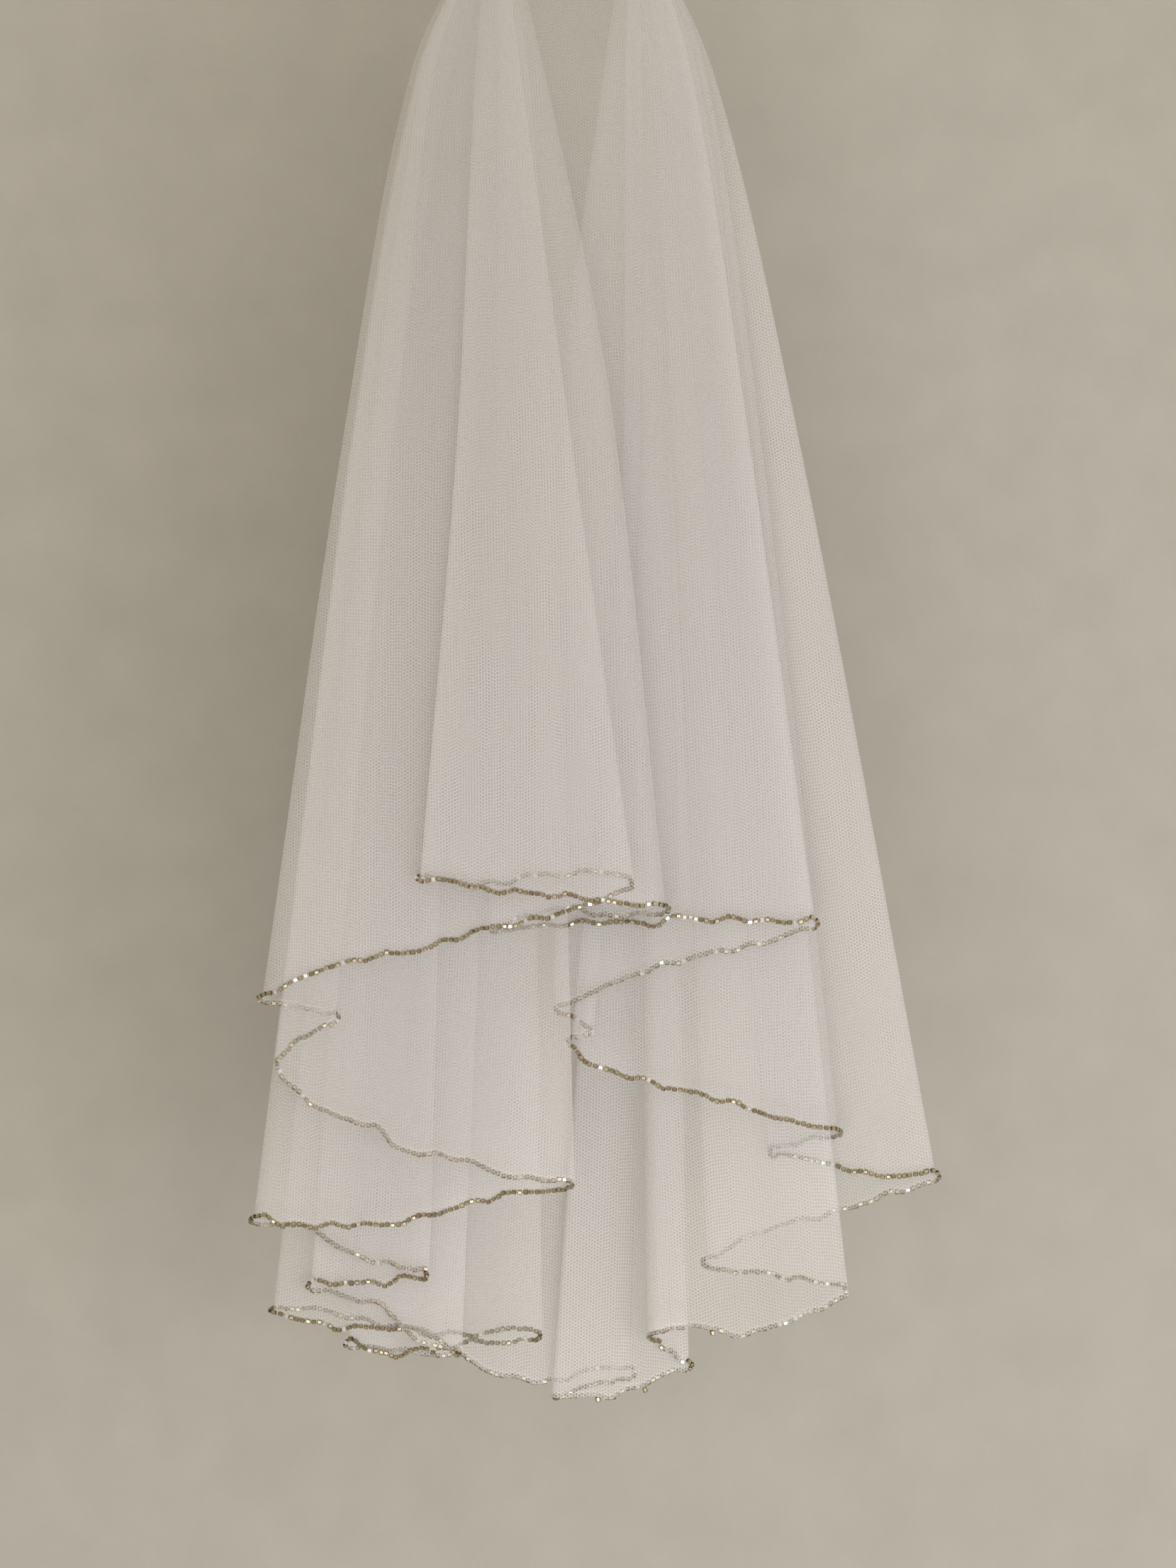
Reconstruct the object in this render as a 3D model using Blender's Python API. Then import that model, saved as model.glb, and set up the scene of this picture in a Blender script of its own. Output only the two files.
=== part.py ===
"""Two-tier elbow-length veil of soft net with a beaded edge, hanging from a small hair comb.

The net is one oval piece folded over the comb, so a section through it at any height is one closed line that
zigzags from fold to fold: a cascade at each end of the comb, the short front tier between them and the long
back tier behind. Every fold is a row of FOLDS, and every point of the net is worked out from those rows.

Metres, +Z up. The origin is the middle of the comb's top edge. The wearer's face, or the viewer, is at -Y.
"""

import math
from typing import NamedTuple

import bmesh
import bpy

MM = 0.001

# Net wall and how its layers stack up, in millimetres
WALL = 1.1
SEAM_GAP = 0.3
HEAD_PITCH = 1.55  # from layer to layer in the gathers
HEM_PITCH = 5.6  # from layer to layer at the longest hem
LONGEST_DROP = 736.0
UPPER_DROP = 77.0  # heights at which FOLDS says where each fold is
MIDDLE_DROP = 245.0
SWING_SHARE = 0.4  # of the spread comes at once below the comb, and the rest evenly down to the hem
SWING_DROP = 52.0
MIDDLE_LAYER = 10.5
LAYER_LEAN = 3.3  # layers by which the right cascade sits further back than the left one
HEAD_HALF_WIDTH = 36.0
HEM_HALF_WIDTH = 150.0
TURN_RADIUS = 7.0  # the widest that a fold is rounded
WAVE = 0.16  # of the pitch: how far a panel waves out of its plane

# Mesh density
TURN_STEPS = 4
PANEL_STEP = 42.0
HEIGHTS = (0.0, 0.035, 0.09, 0.17, 0.27, 0.4, 0.55, 0.7, 0.85, 1.0)

# Comb and the ribbon bar over the gathers
COMB_WIDTH = 54.0
COMB_TEETH = 13
COMB_LENGTH = 40.0
SPINE_HEIGHT = 8.0
COMB_THICKNESS = 2.2
COMB_Y = 4.2
TOOTH_SHARE = 0.46
BINDING_SIZE = (84.0, 28.0, 7.0)
BINDING_Y = 0.8
BINDING_GAP = 0.3
BINDING_ROUNDING = 3.0


class Fold(NamedTuple):
    """One fold: where it is across the veil at four heights, and the panel that ends in it."""

    name: str
    head: float
    upper: float
    middle: float
    hem: float
    drop: float
    layer: float
    bow: float


# In order round the hem, seen from above: left along the front first. Folds turn left and right by turns.
# name, x at the comb, x at UPPER_DROP, x at MIDDLE_DROP, x at the hem, drop to the hem,
# layer of the panel that ends here (0 is the front one), and how far that panel's hem bows down
FOLDS = (
    Fold("front_centre_left", -36.5, -43, -51, -70, 476, 0, 0),
    Fold("front_centre_right", -31, -21, 2, 35, 478, 1, -4),
    Fold("front_outer_left", -37.5, -74.5, -106, -148, 535, 2, -1),
    Fold("tuck_right", -32, -54, -82, -112, 545, 5, 0),
    Fold("side_first_left", -35, -71.5, -102, -142, 567, 4, 0),
    Fold("side_first_right", -30.5, -17, -5, 6, 626, 3, 14),
    Fold("side_second_left", -37.5, -71, -101.5, -153, 645, 6, 8),
    Fold("side_second_right", -31.5, -40, -54, -66, 672, 9, 2),
    Fold("side_third_left", -36.5, -68, -92.5, -125, 678, 10, 3),
    Fold("side_third_right", -31.5, -31, -33, -50, 711, 11, 0),
    Fold("back_first_left", -37.5, -69, -94, -144, 691, 12, -2),
    Fold("back_first_right", -31, -26, -17, -10, 703, 13, 3),
    Fold("back_second_left", -36.5, -64.5, -82, -107, 708, 14, 4),
    Fold("back_second_right", 38, 39, 38, 34.5, 724, 21, 9),
    Fold("back_third_left", 32.5, 30.5, 27, -6, 736, 20, 0),
    Fold("back_third_right", 38, 45.5, 52.5, 62.5, 719, 19, 5),
    Fold("right_first_left", 31, 33.5, 37, 41, 704, 18, 0),
    Fold("right_first_right", 38.5, 66.5, 91, 141, 680, 13, 10),
    Fold("right_second_left", 33, 42, 52.5, 70.5, 667, 14, 0),
    Fold("right_outer", 39.5, 74.5, 114, 185, 624, 17, -2),
    Fold("right_third_left", 35, 47.5, 66.5, 101, 612, 16, 3),
    Fold("right_third_right", 41, 70.5, 96, 136, 602, 15, 0),
    Fold("front_long_left", 34, 30.5, 30, 4, 557, 10, 3),
    Fold("tuck_front_right", 37.5, 39, 39, 24, 552, 11, 0),
    Fold("front_short_left", 32, 20, 0, -5, 541, 12, 0),
    Fold("front_short_right", 39.5, 63, 89.5, 124, 498, 9, -4),
    Fold("crossing_left", -34, -33, -32.5, -36.5, 502, 8, -1),
    Fold("crossing_right", -28.5, -9.5, 24, 50.5, 491, 7, -5),
)

# The back panel leaves its first fold in a layer further forward and settles back over this share of its width
BACK_PANEL = 13
BACK_START_LAYER = 15
BACK_SETTLED = 0.85

# Stretches of net, each from the middle of one panel to the middle of a later one.
# The number is the fold in which that panel ends.
STRETCHES = (
    ("net_front_left", 27, 3),
    ("net_side_left", 3, 9),
    ("net_back", 9, 15),
    ("net_side_right", 15, 21),
    ("net_front_right", 21, 27),
)


def smooth_through(heights, values, at):
    """A value at height `at` on a curve that passes every point without overshoot, straight past both ends."""
    spans = [b - a for a, b in zip(heights, heights[1:])]
    slopes = [(b - a) / s for a, b, s in zip(values, values[1:], spans)]
    tangents = [slopes[0]]
    for left, right in zip(slopes, slopes[1:]):
        tangents.append(0.0 if left * right <= 0 else 2 * left * right / (left + right))
    tangents.append(slopes[-1])
    if at >= heights[-1]:
        return values[-1] + tangents[-1] * (at - heights[-1])
    i = max(k for k in range(len(spans)) if at >= heights[k])
    t = (at - heights[i]) / spans[i]
    start, end = values[i], values[i + 1]
    rise = t * t * (3 - 2 * t)
    return (
        start * (1 - rise)
        + end * rise
        + spans[i] * (tangents[i] * t * (1 - t) ** 2 - tangents[i + 1] * t * t * (1 - t))
    )


def swing(drop):
    """How far the layers have spread at this drop, from 0 at the comb to 1 at the longest hem."""
    at_once = 1 - math.exp(-drop / SWING_DROP)
    return SWING_SHARE * at_once + (1 - SWING_SHARE) * drop / LONGEST_DROP


def pitch(drop):
    """Distance from layer to layer at this drop."""
    return HEAD_PITCH + (HEM_PITCH - HEAD_PITCH) * swing(drop)


def depth(layer, x, drop):
    """Y of a layer at a place across the veil."""
    half_width = HEAD_HALF_WIDTH + (HEM_HALF_WIDTH - HEAD_HALF_WIDTH) * swing(drop)
    middle = MIDDLE_LAYER + LAYER_LEAN * math.tanh(x / half_width)
    return (layer - middle) * pitch(drop)


def fold_x(k, drop):
    """X of fold k at a drop."""
    fold = FOLDS[k % len(FOLDS)]
    heights = (0.0, UPPER_DROP, MIDDLE_DROP, fold.drop)
    return smooth_through(heights, (fold.head, fold.upper, fold.middle, fold.hem), drop)


def turn_sign(k):
    """-1 for a fold at the left edge of its panels, +1 for one at the right edge."""
    return 1 if k % len(FOLDS) % 2 else -1


def layer_in(k):
    """Layer of the panel that ends in fold k."""
    return FOLDS[k % len(FOLDS)].layer


def layer_out(k):
    """Layer in which the next panel leaves fold k."""
    if (k + 1) % len(FOLDS) == BACK_PANEL:
        return BACK_START_LAYER
    return layer_in(k + 1)


def turn_radius(k, drop):
    """Half the width of fold k's rounding: no more than its depth and its two panels allow."""
    across = abs(layer_out(k) - layer_in(k)) / 2 * pitch(drop)
    here = fold_x(k, drop)
    shortest = min(abs(here - fold_x(k - 1, drop)), abs(here - fold_x(k + 1, drop)))
    return min(across, 0.34 * shortest, TURN_RADIUS)


class Column(NamedTuple):
    """One upright line of the net: a place in panel k, or a step round the fold that ends it."""

    k: int
    share: float
    turning: bool
    shift: float


def place(column, drop):
    """X and Y of a column at a drop."""
    k = column.k
    sign = turn_sign(k)
    if column.turning:
        angle = math.pi * (column.share - 0.5)
        x = fold_x(k, drop) - sign * turn_radius(k, drop) * (1 - math.cos(angle))
        before, after = layer_in(k), layer_out(k)
        layer = (before + after) / 2 + (after - before) / 2 * math.sin(angle)
        return x, depth(layer, x, drop)
    start = fold_x(k - 1, drop) + sign * turn_radius(k - 1, drop)
    end = fold_x(k, drop) - sign * turn_radius(k, drop)
    share = column.share + column.shift / abs(end - start)
    x = start + (end - start) * share
    before, after = layer_out(k - 1), layer_in(k)
    settled = min(share / BACK_SETTLED, 1.0) if before != after else share
    layer = before + (after - before) * settled * settled * (3 - 2 * settled)
    wave = WAVE * (pitch(drop) - HEAD_PITCH) * math.sin(2 * math.pi * share) * sign
    return x, depth(layer, x, drop) + wave


def hem_drop(column):
    """Drop of the hem at a column."""
    fold, before = FOLDS[column.k], FOLDS[column.k - 1]
    if column.turning:
        return fold.drop
    share = column.share
    return before.drop + (fold.drop - before.drop) * share + fold.bow * 4 * share * (1 - share)


def panel_columns(k):
    """Columns of panel k, with one exactly in its middle, and then those round its fold."""
    width = abs(FOLDS[k].hem - FOLDS[k - 1].hem)
    count = 2 * round(width / PANEL_STEP / 2) + 1
    inside = [Column(k, (i + 1) / (count + 1), False, 0.0) for i in range(count)]
    return inside + [Column(k, i / TURN_STEPS, True, 0.0) for i in range(TURN_STEPS + 1)]


def stretch_columns(first, last):
    """Columns from the middle of panel `first` to the middle of panel `last`, half a seam gap short of both."""
    panels = [first]
    while panels[-1] != last:
        panels.append((panels[-1] + 1) % len(FOLDS))
    columns = [c for k in panels for c in panel_columns(k)]
    middles = [i for i, c in enumerate(columns) if not c.turning and abs(c.share - 0.5) < 1e-6]
    start = next(i for i in middles if columns[i].k == first)
    end = next(i for i in middles if columns[i].k == last)
    columns = columns[start : end + 1]
    columns[0] = columns[0]._replace(shift=SEAM_GAP / 2)
    columns[-1] = columns[-1]._replace(shift=-SEAM_GAP / 2)
    return columns


def wall_points(columns, i, height):
    """The outer and inner points of the wall at column i and a share of its hem's drop."""
    drop = height * hem_drop(columns[i])
    x, y = place(columns[i], drop)
    before = place(columns[max(i - 1, 0)], drop)
    after = place(columns[min(i + 1, len(columns) - 1)], drop)
    along_before = (x - before[0], y - before[1])
    along_after = (after[0] - x, after[1] - y)
    ways = []
    for dx, dy in (along_before, along_after):
        length = math.hypot(dx, dy)
        if length > 1e-9:
            ways.append((dx / length, dy / length))
    dx = sum(w[0] for w in ways)
    dy = sum(w[1] for w in ways)
    length = math.hypot(dx, dy)
    nx, ny = dy / length, -dx / length
    if len(ways) == 2:
        # Keeps the wall's thickness where the line bends
        nx, ny = nx * 2 / length, ny * 2 / length
    half = WALL / 2
    z = -drop
    return (x + nx * half, y + ny * half, z), (x - nx * half, y - ny * half, z)


def new_object(name, points, faces, colour, roughness):
    """A mesh object in metres from points in millimetres, with its own plain material."""
    mesh = bpy.data.meshes.new(name)
    mesh.from_pydata([tuple(c * MM for c in p) for p in points], [], faces)
    mesh.update()
    bm = bmesh.new()
    bm.from_mesh(mesh)
    bmesh.ops.recalc_face_normals(bm, faces=bm.faces)
    bm.to_mesh(mesh)
    bm.free()
    piece = bpy.data.objects.new(name, mesh)
    bpy.context.scene.collection.objects.link(piece)
    material = bpy.data.materials.new(name)
    material.use_nodes = True
    shader = material.node_tree.nodes["Principled BSDF"]
    shader.inputs["Base Color"].default_value = (*colour, 1.0)
    shader.inputs["Roughness"].default_value = roughness
    mesh.materials.append(material)
    return piece


def make_stretch(name, first, last):
    """A stretch of net: a wall round its columns, closed along the gathers, the hem and both cut edges."""
    columns = stretch_columns(first, last)
    points, rows = [], []
    for i in range(len(columns)):
        row = []
        for height in HEIGHTS:
            outer, inner = wall_points(columns, i, height)
            row.append((len(points), len(points) + 1))
            points += [outer, inner]
        rows.append(row)
    faces = []
    for left, right in zip(rows, rows[1:]):
        for j in range(len(HEIGHTS) - 1):
            faces.append((left[j][0], right[j][0], right[j + 1][0], left[j + 1][0]))
            faces.append((left[j][1], left[j + 1][1], right[j + 1][1], right[j][1]))
        faces.append((left[0][0], left[0][1], right[0][1], right[0][0]))
        faces.append((left[-1][0], right[-1][0], right[-1][1], left[-1][1]))
    for row, turned in ((rows[0], False), (rows[-1], True)):
        for upper, lower in zip(row, row[1:]):
            face = (upper[0], lower[0], lower[1], upper[1])
            faces.append(face[::-1] if turned else face)
    return new_object(name, points, faces, (0.62, 0.59, 0.54), 0.8)


def make_comb():
    """A flat comb: one toothed outline, given its thickness."""
    pitch_x = COMB_WIDTH / COMB_TEETH
    tooth = TOOTH_SHARE * pitch_x
    outline = [(-COMB_WIDTH / 2, 0.0)]
    for i in range(COMB_TEETH):
        middle = -COMB_WIDTH / 2 + (i + 0.5) * pitch_x
        left = -COMB_WIDTH / 2 if i == 0 else middle - tooth / 2
        right = COMB_WIDTH / 2 if i == COMB_TEETH - 1 else middle + tooth / 2
        outline += [
            (left, -SPINE_HEIGHT),
            (middle - tooth / 4, -COMB_LENGTH),
            (middle + tooth / 4, -COMB_LENGTH),
            (right, -SPINE_HEIGHT),
        ]
    outline.append((COMB_WIDTH / 2, 0.0))
    count = len(outline)
    front, back = COMB_Y - COMB_THICKNESS / 2, COMB_Y + COMB_THICKNESS / 2
    points = [(x, front, z) for x, z in outline] + [(x, back, z) for x, z in outline]
    faces = [tuple(range(count)), tuple(range(2 * count - 1, count - 1, -1))]
    faces += [(i, i + count, (i + 1) % count + count, (i + 1) % count) for i in range(count)]
    return new_object("comb", points, faces, (0.7, 0.66, 0.6), 0.35)


def make_binding():
    """The ribbon bar over the gathers, rounded along its edges."""
    width, across, height = BINDING_SIZE
    bottom = BINDING_GAP
    corners = [
        (sx * width / 2, BINDING_Y + sy * across / 2, z)
        for z in (bottom, bottom + height)
        for sx, sy in ((-1, -1), (1, -1), (1, 1), (-1, 1))
    ]
    sides = [(i, (i + 1) % 4, (i + 1) % 4 + 4, i + 4) for i in range(4)]
    piece = new_object("binding", corners, [(3, 2, 1, 0), (4, 5, 6, 7), *sides], (0.74, 0.7, 0.64), 0.5)
    bevel = piece.modifiers.new("rounding", "BEVEL")
    bevel.width = BINDING_ROUNDING * MM
    bevel.segments = 3
    bevel.limit_method = "ANGLE"
    return piece


def main():
    """Clears the file and makes the veil."""
    for old in list(bpy.data.objects):
        bpy.data.objects.remove(old, do_unlink=True)
    for name, first, last in STRETCHES:
        make_stretch(name, first, last)
    make_comb()
    make_binding()


main()
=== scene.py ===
"""Dressed model of a two-tier ivory tulle veil with a cut-glass bead edging, gathered onto a hair comb.

The net is one oval piece folded over the comb. A section through it at any height is one closed line that
zigzags from fold to fold, so one table of folds gives every point of the net, its edge and its beads.

Metres, +Z up. The origin is the middle of the comb's top edge, and the viewer is at -Y.
"""

from __future__ import annotations

import logging
import math
from dataclasses import dataclass, field
from enum import Enum

import bpy
import numpy as np
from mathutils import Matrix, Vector

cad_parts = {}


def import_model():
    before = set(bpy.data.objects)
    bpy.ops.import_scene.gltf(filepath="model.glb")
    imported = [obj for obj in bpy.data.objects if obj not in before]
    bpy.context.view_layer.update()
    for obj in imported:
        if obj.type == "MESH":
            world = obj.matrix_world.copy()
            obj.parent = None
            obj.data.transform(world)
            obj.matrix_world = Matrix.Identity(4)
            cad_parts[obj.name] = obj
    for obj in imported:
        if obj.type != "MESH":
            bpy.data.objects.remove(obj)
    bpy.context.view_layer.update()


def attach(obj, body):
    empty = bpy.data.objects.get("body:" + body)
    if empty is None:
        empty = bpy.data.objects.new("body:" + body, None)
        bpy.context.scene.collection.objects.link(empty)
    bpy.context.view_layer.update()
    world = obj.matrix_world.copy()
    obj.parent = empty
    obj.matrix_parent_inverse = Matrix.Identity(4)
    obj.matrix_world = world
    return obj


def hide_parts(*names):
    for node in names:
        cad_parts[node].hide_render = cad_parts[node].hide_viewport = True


LOG = logging.getLogger("veil")
MM = 0.001
CLEAR = (1.0, 1.0, 1.0, 1.0)
# Blender's wave texture draws this many bands in a metre at a scale of one
WAVE_BANDS = 20 / (2 * math.pi)


class Part(Enum):
    """CAD nodes of the veil that a piece of this scene stands for."""

    NET_FRONT_LEFT = "net_front_left"
    NET_SIDE_LEFT = "net_side_left"
    NET_BACK = "net_back"
    NET_SIDE_RIGHT = "net_side_right"
    NET_FRONT_RIGHT = "net_front_right"
    COMB = "comb"
    BINDING = "binding"


class Slot(Enum):
    """Material slots of the record."""

    TULLE = "tulle"
    GLASS = "cut_glass"
    COMB = "comb_plastic"
    RIBBON = "ribbon"


@dataclass(frozen=True)
class Fold:
    """One fold of the net and the panel that ends in it, in millimetres.

    The fold's place across the veil is given at the comb, at two heights below it and at the hem. The layer
    counts panels from the front. Trim is how the hem of the panel leaves the straight line between its two
    folds: pairs of a share of the panel's width and how much lower the hem is there.
    """

    name: str
    head: float
    upper: float
    middle: float
    hem: float
    drop: float
    layer: int
    trim: tuple[tuple[float, float], ...] = ()


FOLDS: tuple[Fold, ...] = (
    Fold(
        "front_centre_left", -36.5, -43, -51, -70, 476, 0,
        ((0.25, -1.5), (0.61, 0.5), (0.79, 2), (0.83, -0.5), (0.93, -1.5)),
    ),
    Fold(
        "front_centre_right", -31, -21, 2, 35, 478, 1,
        ((0.15, 1.5), (0.42, 2), (0.48, -4.5), (0.58, -2), (0.81, -5.5), (0.95, -3.5)),
    ),
    Fold(
        "front_outer_left", -37.5, -74.5, -106, -148, 535, 2,
        (
            (0.06, 3), (0.11, 4), (0.32, 1.5), (0.41, -1.5), (0.46, -2), (0.54, -2),
            (0.61, -1.5), (0.76, -6.5), (0.87, -7.5), (0.95, -6.5), (0.99, -2.5),
        ),
    ),
    Fold("tuck_right", -32, -54, -82, -112, 545, 5),
    Fold("side_first_left", -35, -71.5, -102, -142, 567, 4, ((0.23, -1.5), (0.5, -0.5), (0.8, -4.5))),
    Fold(
        "side_first_right", -30.5, -17, -5, 6, 626, 3,
        (
            (0.02, 7), (0.07, 7.5), (0.12, 12), (0.25, 13), (0.37, 8), (0.41, 15.5),
            (0.51, 14), (0.66, 7), (0.78, 7.5), (0.9, 3),
        ),
    ),
    Fold(
        "side_second_left", -37.5, -71, -101.5, -153, 645, 6,
        (
            (0.03, 2.5), (0.15, 1.5), (0.26, 3), (0.34, 5), (0.44, 7), (0.59, 10),
            (0.71, 7), (0.84, 6), (0.92, 2), (0.95, 6),
        ),
    ),
    Fold(
        "side_second_right", -31.5, -40, -54, -66, 672, 9,
        ((0.15, -2), (0.33, -4), (0.44, 1.5), (0.61, 2), (0.78, 1)),
    ),
    Fold(
        "side_third_left", -36.5, -68, -92.5, -125, 678, 10,
        ((0.18, -0.5), (0.33, 4), (0.52, -0.5), (0.65, 2), (0.9, -0.5)),
    ),
    Fold(
        "side_third_right", -31.5, -31, -33, -50, 711, 11,
        ((0.24, -1.5), (0.48, -6), (0.6, -1), (0.73, 4.5), (0.95, -0.5)),
    ),
    Fold(
        "back_first_left", -37.5, -69, -94, -144, 691, 12,
        ((0.12, -5.5), (0.25, -6), (0.46, -3), (0.63, 1.5), (0.8, 2), (0.96, 1.5)),
    ),
    Fold(
        "back_first_right", -31, -26, -17, -10, 703, 13,
        ((0.16, -2.5), (0.33, 1.5), (0.57, 3.5), (0.74, 3.5), (0.84, -0.5), (0.97, -3)),
    ),
    Fold(
        "back_second_left", -36.5, -64.5, -82, -107, 708, 14,
        ((0.08, 1.5), (0.18, 5), (0.26, 1), (0.54, 4.5), (0.66, 4.5), (0.74, 7), (0.91, 5)),
    ),
    Fold(
        "back_second_right", 38, 39, 38, 34.5, 724, 21,
        (
            (0.13, 1), (0.28, 1.5), (0.36, 0), (0.46, 3), (0.51, 9), (0.62, 8.5),
            (0.7, 10), (0.77, 8), (0.83, 1.5), (0.91, -1),
        ),
    ),
    Fold("back_third_left", 32.5, 30.5, 27, -6, 736, 20),
    Fold(
        "back_third_right", 38, 45.5, 52.5, 62.5, 719, 19,
        ((0.19, 2), (0.35, 6), (0.59, 5.5), (0.67, 5.5), (0.81, 1.5)),
    ),
    Fold("right_first_left", 31, 33.5, 37, 41, 704, 18, ((0.38, 0.5), (0.75, 4))),
    Fold(
        "right_first_right", 38.5, 66.5, 91, 141, 680, 13,
        (
            (0.04, -3), (0.12, -2.5), (0.19, -2.5), (0.32, 4.5), (0.48, 10), (0.58, 8),
            (0.74, 7), (0.87, 5.5), (0.97, 2),
        ),
    ),
    Fold("right_second_left", 33, 42, 52.5, 70.5, 667, 14, ((0.14, -1.5), (0.35, -1), (0.64, 0), (0.91, 2))),
    Fold(
        "right_outer", 39.5, 74.5, 114, 185, 624, 17,
        ((0.06, -6), (0.17, -6.5), (0.24, -7), (0.48, -2.5), (0.57, -1.5), (0.83, 0.5), (0.95, 2)),
    ),
    Fold(
        "right_third_left", 35, 47.5, 66.5, 101, 612, 16,
        ((0.1, 1), (0.39, 4.5), (0.55, 2), (0.74, 2), (0.87, -1)),
    ),
    Fold("right_third_right", 41, 70.5, 96, 136, 602, 15, ((0.19, -0.5), (0.51, 0), (0.78, 1))),
    Fold(
        "front_long_left", 34, 30.5, 30, 4, 557, 10,
        (
            (0.05, -1.5), (0.18, 0.5), (0.33, 0.5), (0.48, 2.5), (0.62, 5), (0.76, 6.5), (0.92, 8),
            (0.97, 7.5),
        ),
    ),
    Fold("tuck_front_right", 37.5, 39, 38, 15, 552, 11),
    Fold("front_short_left", 32, 20, 0, -5, 541, 12),
    Fold(
        "front_short_right", 39.5, 63, 89.5, 124, 498, 9,
        ((0.08, -4.5), (0.19, -5), (0.28, -6.5), (0.45, -5), (0.59, -3), (0.69, -1), (0.8, 1.5), (0.89, 1)),
    ),
    Fold(
        "crossing_left", -34, -33, -32.5, -36.5, 502, 8,
        (
            (0.06, 0.5), (0.13, -1.5), (0.23, -3), (0.31, -2), (0.38, -4.5), (0.45, -4),
            (0.49, -0.5), (0.61, -3), (0.76, -2.5),
        ),
    ),
    Fold(
        "crossing_right", -28.5, -9.5, 24, 50.5, 491, 7,
        ((0.22, -6), (0.55, -6.5), (0.64, 0.5), (0.84, 1)),
    ),
)


def linear(colour: str) -> tuple[float, float, float, float]:
    """Turns an sRGB hex colour such as "D8CFC0" to linear red, green and blue with an alpha of one."""
    parts = [int(colour[i : i + 2], 16) / 255 for i in (0, 2, 4)]
    values = [p / 12.92 if p <= 0.04045 else ((p + 0.055) / 1.055) ** 2.4 for p in parts]
    return (values[0], values[1], values[2], 1.0)


def add_node(
    tree: bpy.types.NodeTree,
    kind: str,
    settings: dict[str, object] | None = None,
    links: dict[str | int, object] | None = None,
) -> bpy.types.Node:
    """Adds a node with its settings and what feeds it.

    Args:
        tree: The node tree to add to.
        kind: The node's type name, without its "ShaderNode" start.
        settings: Properties of the node by name.
        links: For each input, the output that feeds it, or the value it holds.

    Returns:
        The new node.
    """
    node = tree.nodes.new("ShaderNode" + kind)
    for name, value in (settings or {}).items():
        setattr(node, name, value)
    for name, value in (links or {}).items():
        socket = node.inputs[name]
        if isinstance(value, bpy.types.NodeSocket):
            tree.links.new(value, socket)
        elif isinstance(value, bpy.types.Node):
            tree.links.new(value.outputs[0], socket)
        else:
            socket.default_value = value
    return node


def blend(tree: bpy.types.NodeTree, share: object, first: object, second: object) -> bpy.types.NodeSocket:
    """Mixes a share of a second colour into a first one, and returns the output that holds the mix."""
    return add_node(tree, "Mix", {"data_type": "RGBA"}, {0: share, 6: first, 7: second}).outputs[2]


def object_texture(
    tree: bpy.types.NodeTree, kind: str, settings: dict[str, str], **values: float
) -> bpy.types.Node:
    """Adds a texture measured in the object's own metres. The values are its inputs, with "_" for blanks."""
    place = add_node(tree, "TexCoord").outputs["Object"]
    inputs = {name.replace("_", " "): value for name, value in values.items()}
    return add_node(tree, kind, settings, {"Vector": place, **inputs})


def new_material(name: str) -> tuple[bpy.types.Material, bpy.types.NodeTree]:
    """Makes a material whose node tree holds only the output, and returns both."""
    material = bpy.data.materials.new(name)
    material.use_nodes = True
    tree = material.node_tree
    tree.nodes.clear()
    tree.nodes.new("ShaderNodeOutputMaterial")
    return material, tree


def finish_surface(tree: bpy.types.NodeTree, shader: bpy.types.Node) -> None:
    """Joins a shader's first output to the material's surface."""
    output = next(n for n in tree.nodes if n.type == "OUTPUT_MATERIAL")
    tree.links.new(shader.outputs[0], output.inputs["Surface"])


def new_piece(name: str, mesh: bpy.types.Mesh, materials: list[bpy.types.Material]) -> bpy.types.Object:
    """Makes an object in the scene from a mesh in the frame's coordinates, with its materials in order."""
    piece = bpy.data.objects.new(name, mesh)
    bpy.context.scene.collection.objects.link(piece)
    for material in materials:
        mesh.materials.append(material)
    return piece


def new_mesh(
    name: str, points: np.ndarray, faces: list[tuple[int, ...]], smooth: bool = True
) -> bpy.types.Mesh:
    """Makes a mesh from a row of x, y and z for each point and the points of each face."""
    mesh = bpy.data.meshes.new(name)
    mesh.from_pydata(points.tolist(), [], faces)
    mesh.polygons.foreach_set("use_smooth", [smooth] * len(mesh.polygons))
    mesh.update()
    return mesh


def tube_faces(rings: int, sides: int, ring_shaped: bool) -> list[tuple[int, ...]]:
    """Faces of a tube whose rings of points are listed one after another.

    Args:
        rings: How many rings there are.
        sides: How many points each ring has.
        ring_shaped: Whether the last ring joins the first. Otherwise a flat face closes each end.
    """
    faces = []
    for ring in range(rings if ring_shaped else rings - 1):
        base, after = ring * sides, (ring + 1) % rings * sides
        for i in range(sides):
            j = (i + 1) % sides
            faces.append((base + i, base + j, after + j, after + i))
    if not ring_shaped:
        last = rings * sides - 1
        faces += [tuple(range(sides)), tuple(range(last, last - sides, -1))]
    return faces


def squared(value: float, power: float) -> float:
    """Raises a cosine or sine to a power and keeps its sign, so that a section gets squarer below 1."""
    return math.copysign(abs(value) ** power, value)


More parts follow.
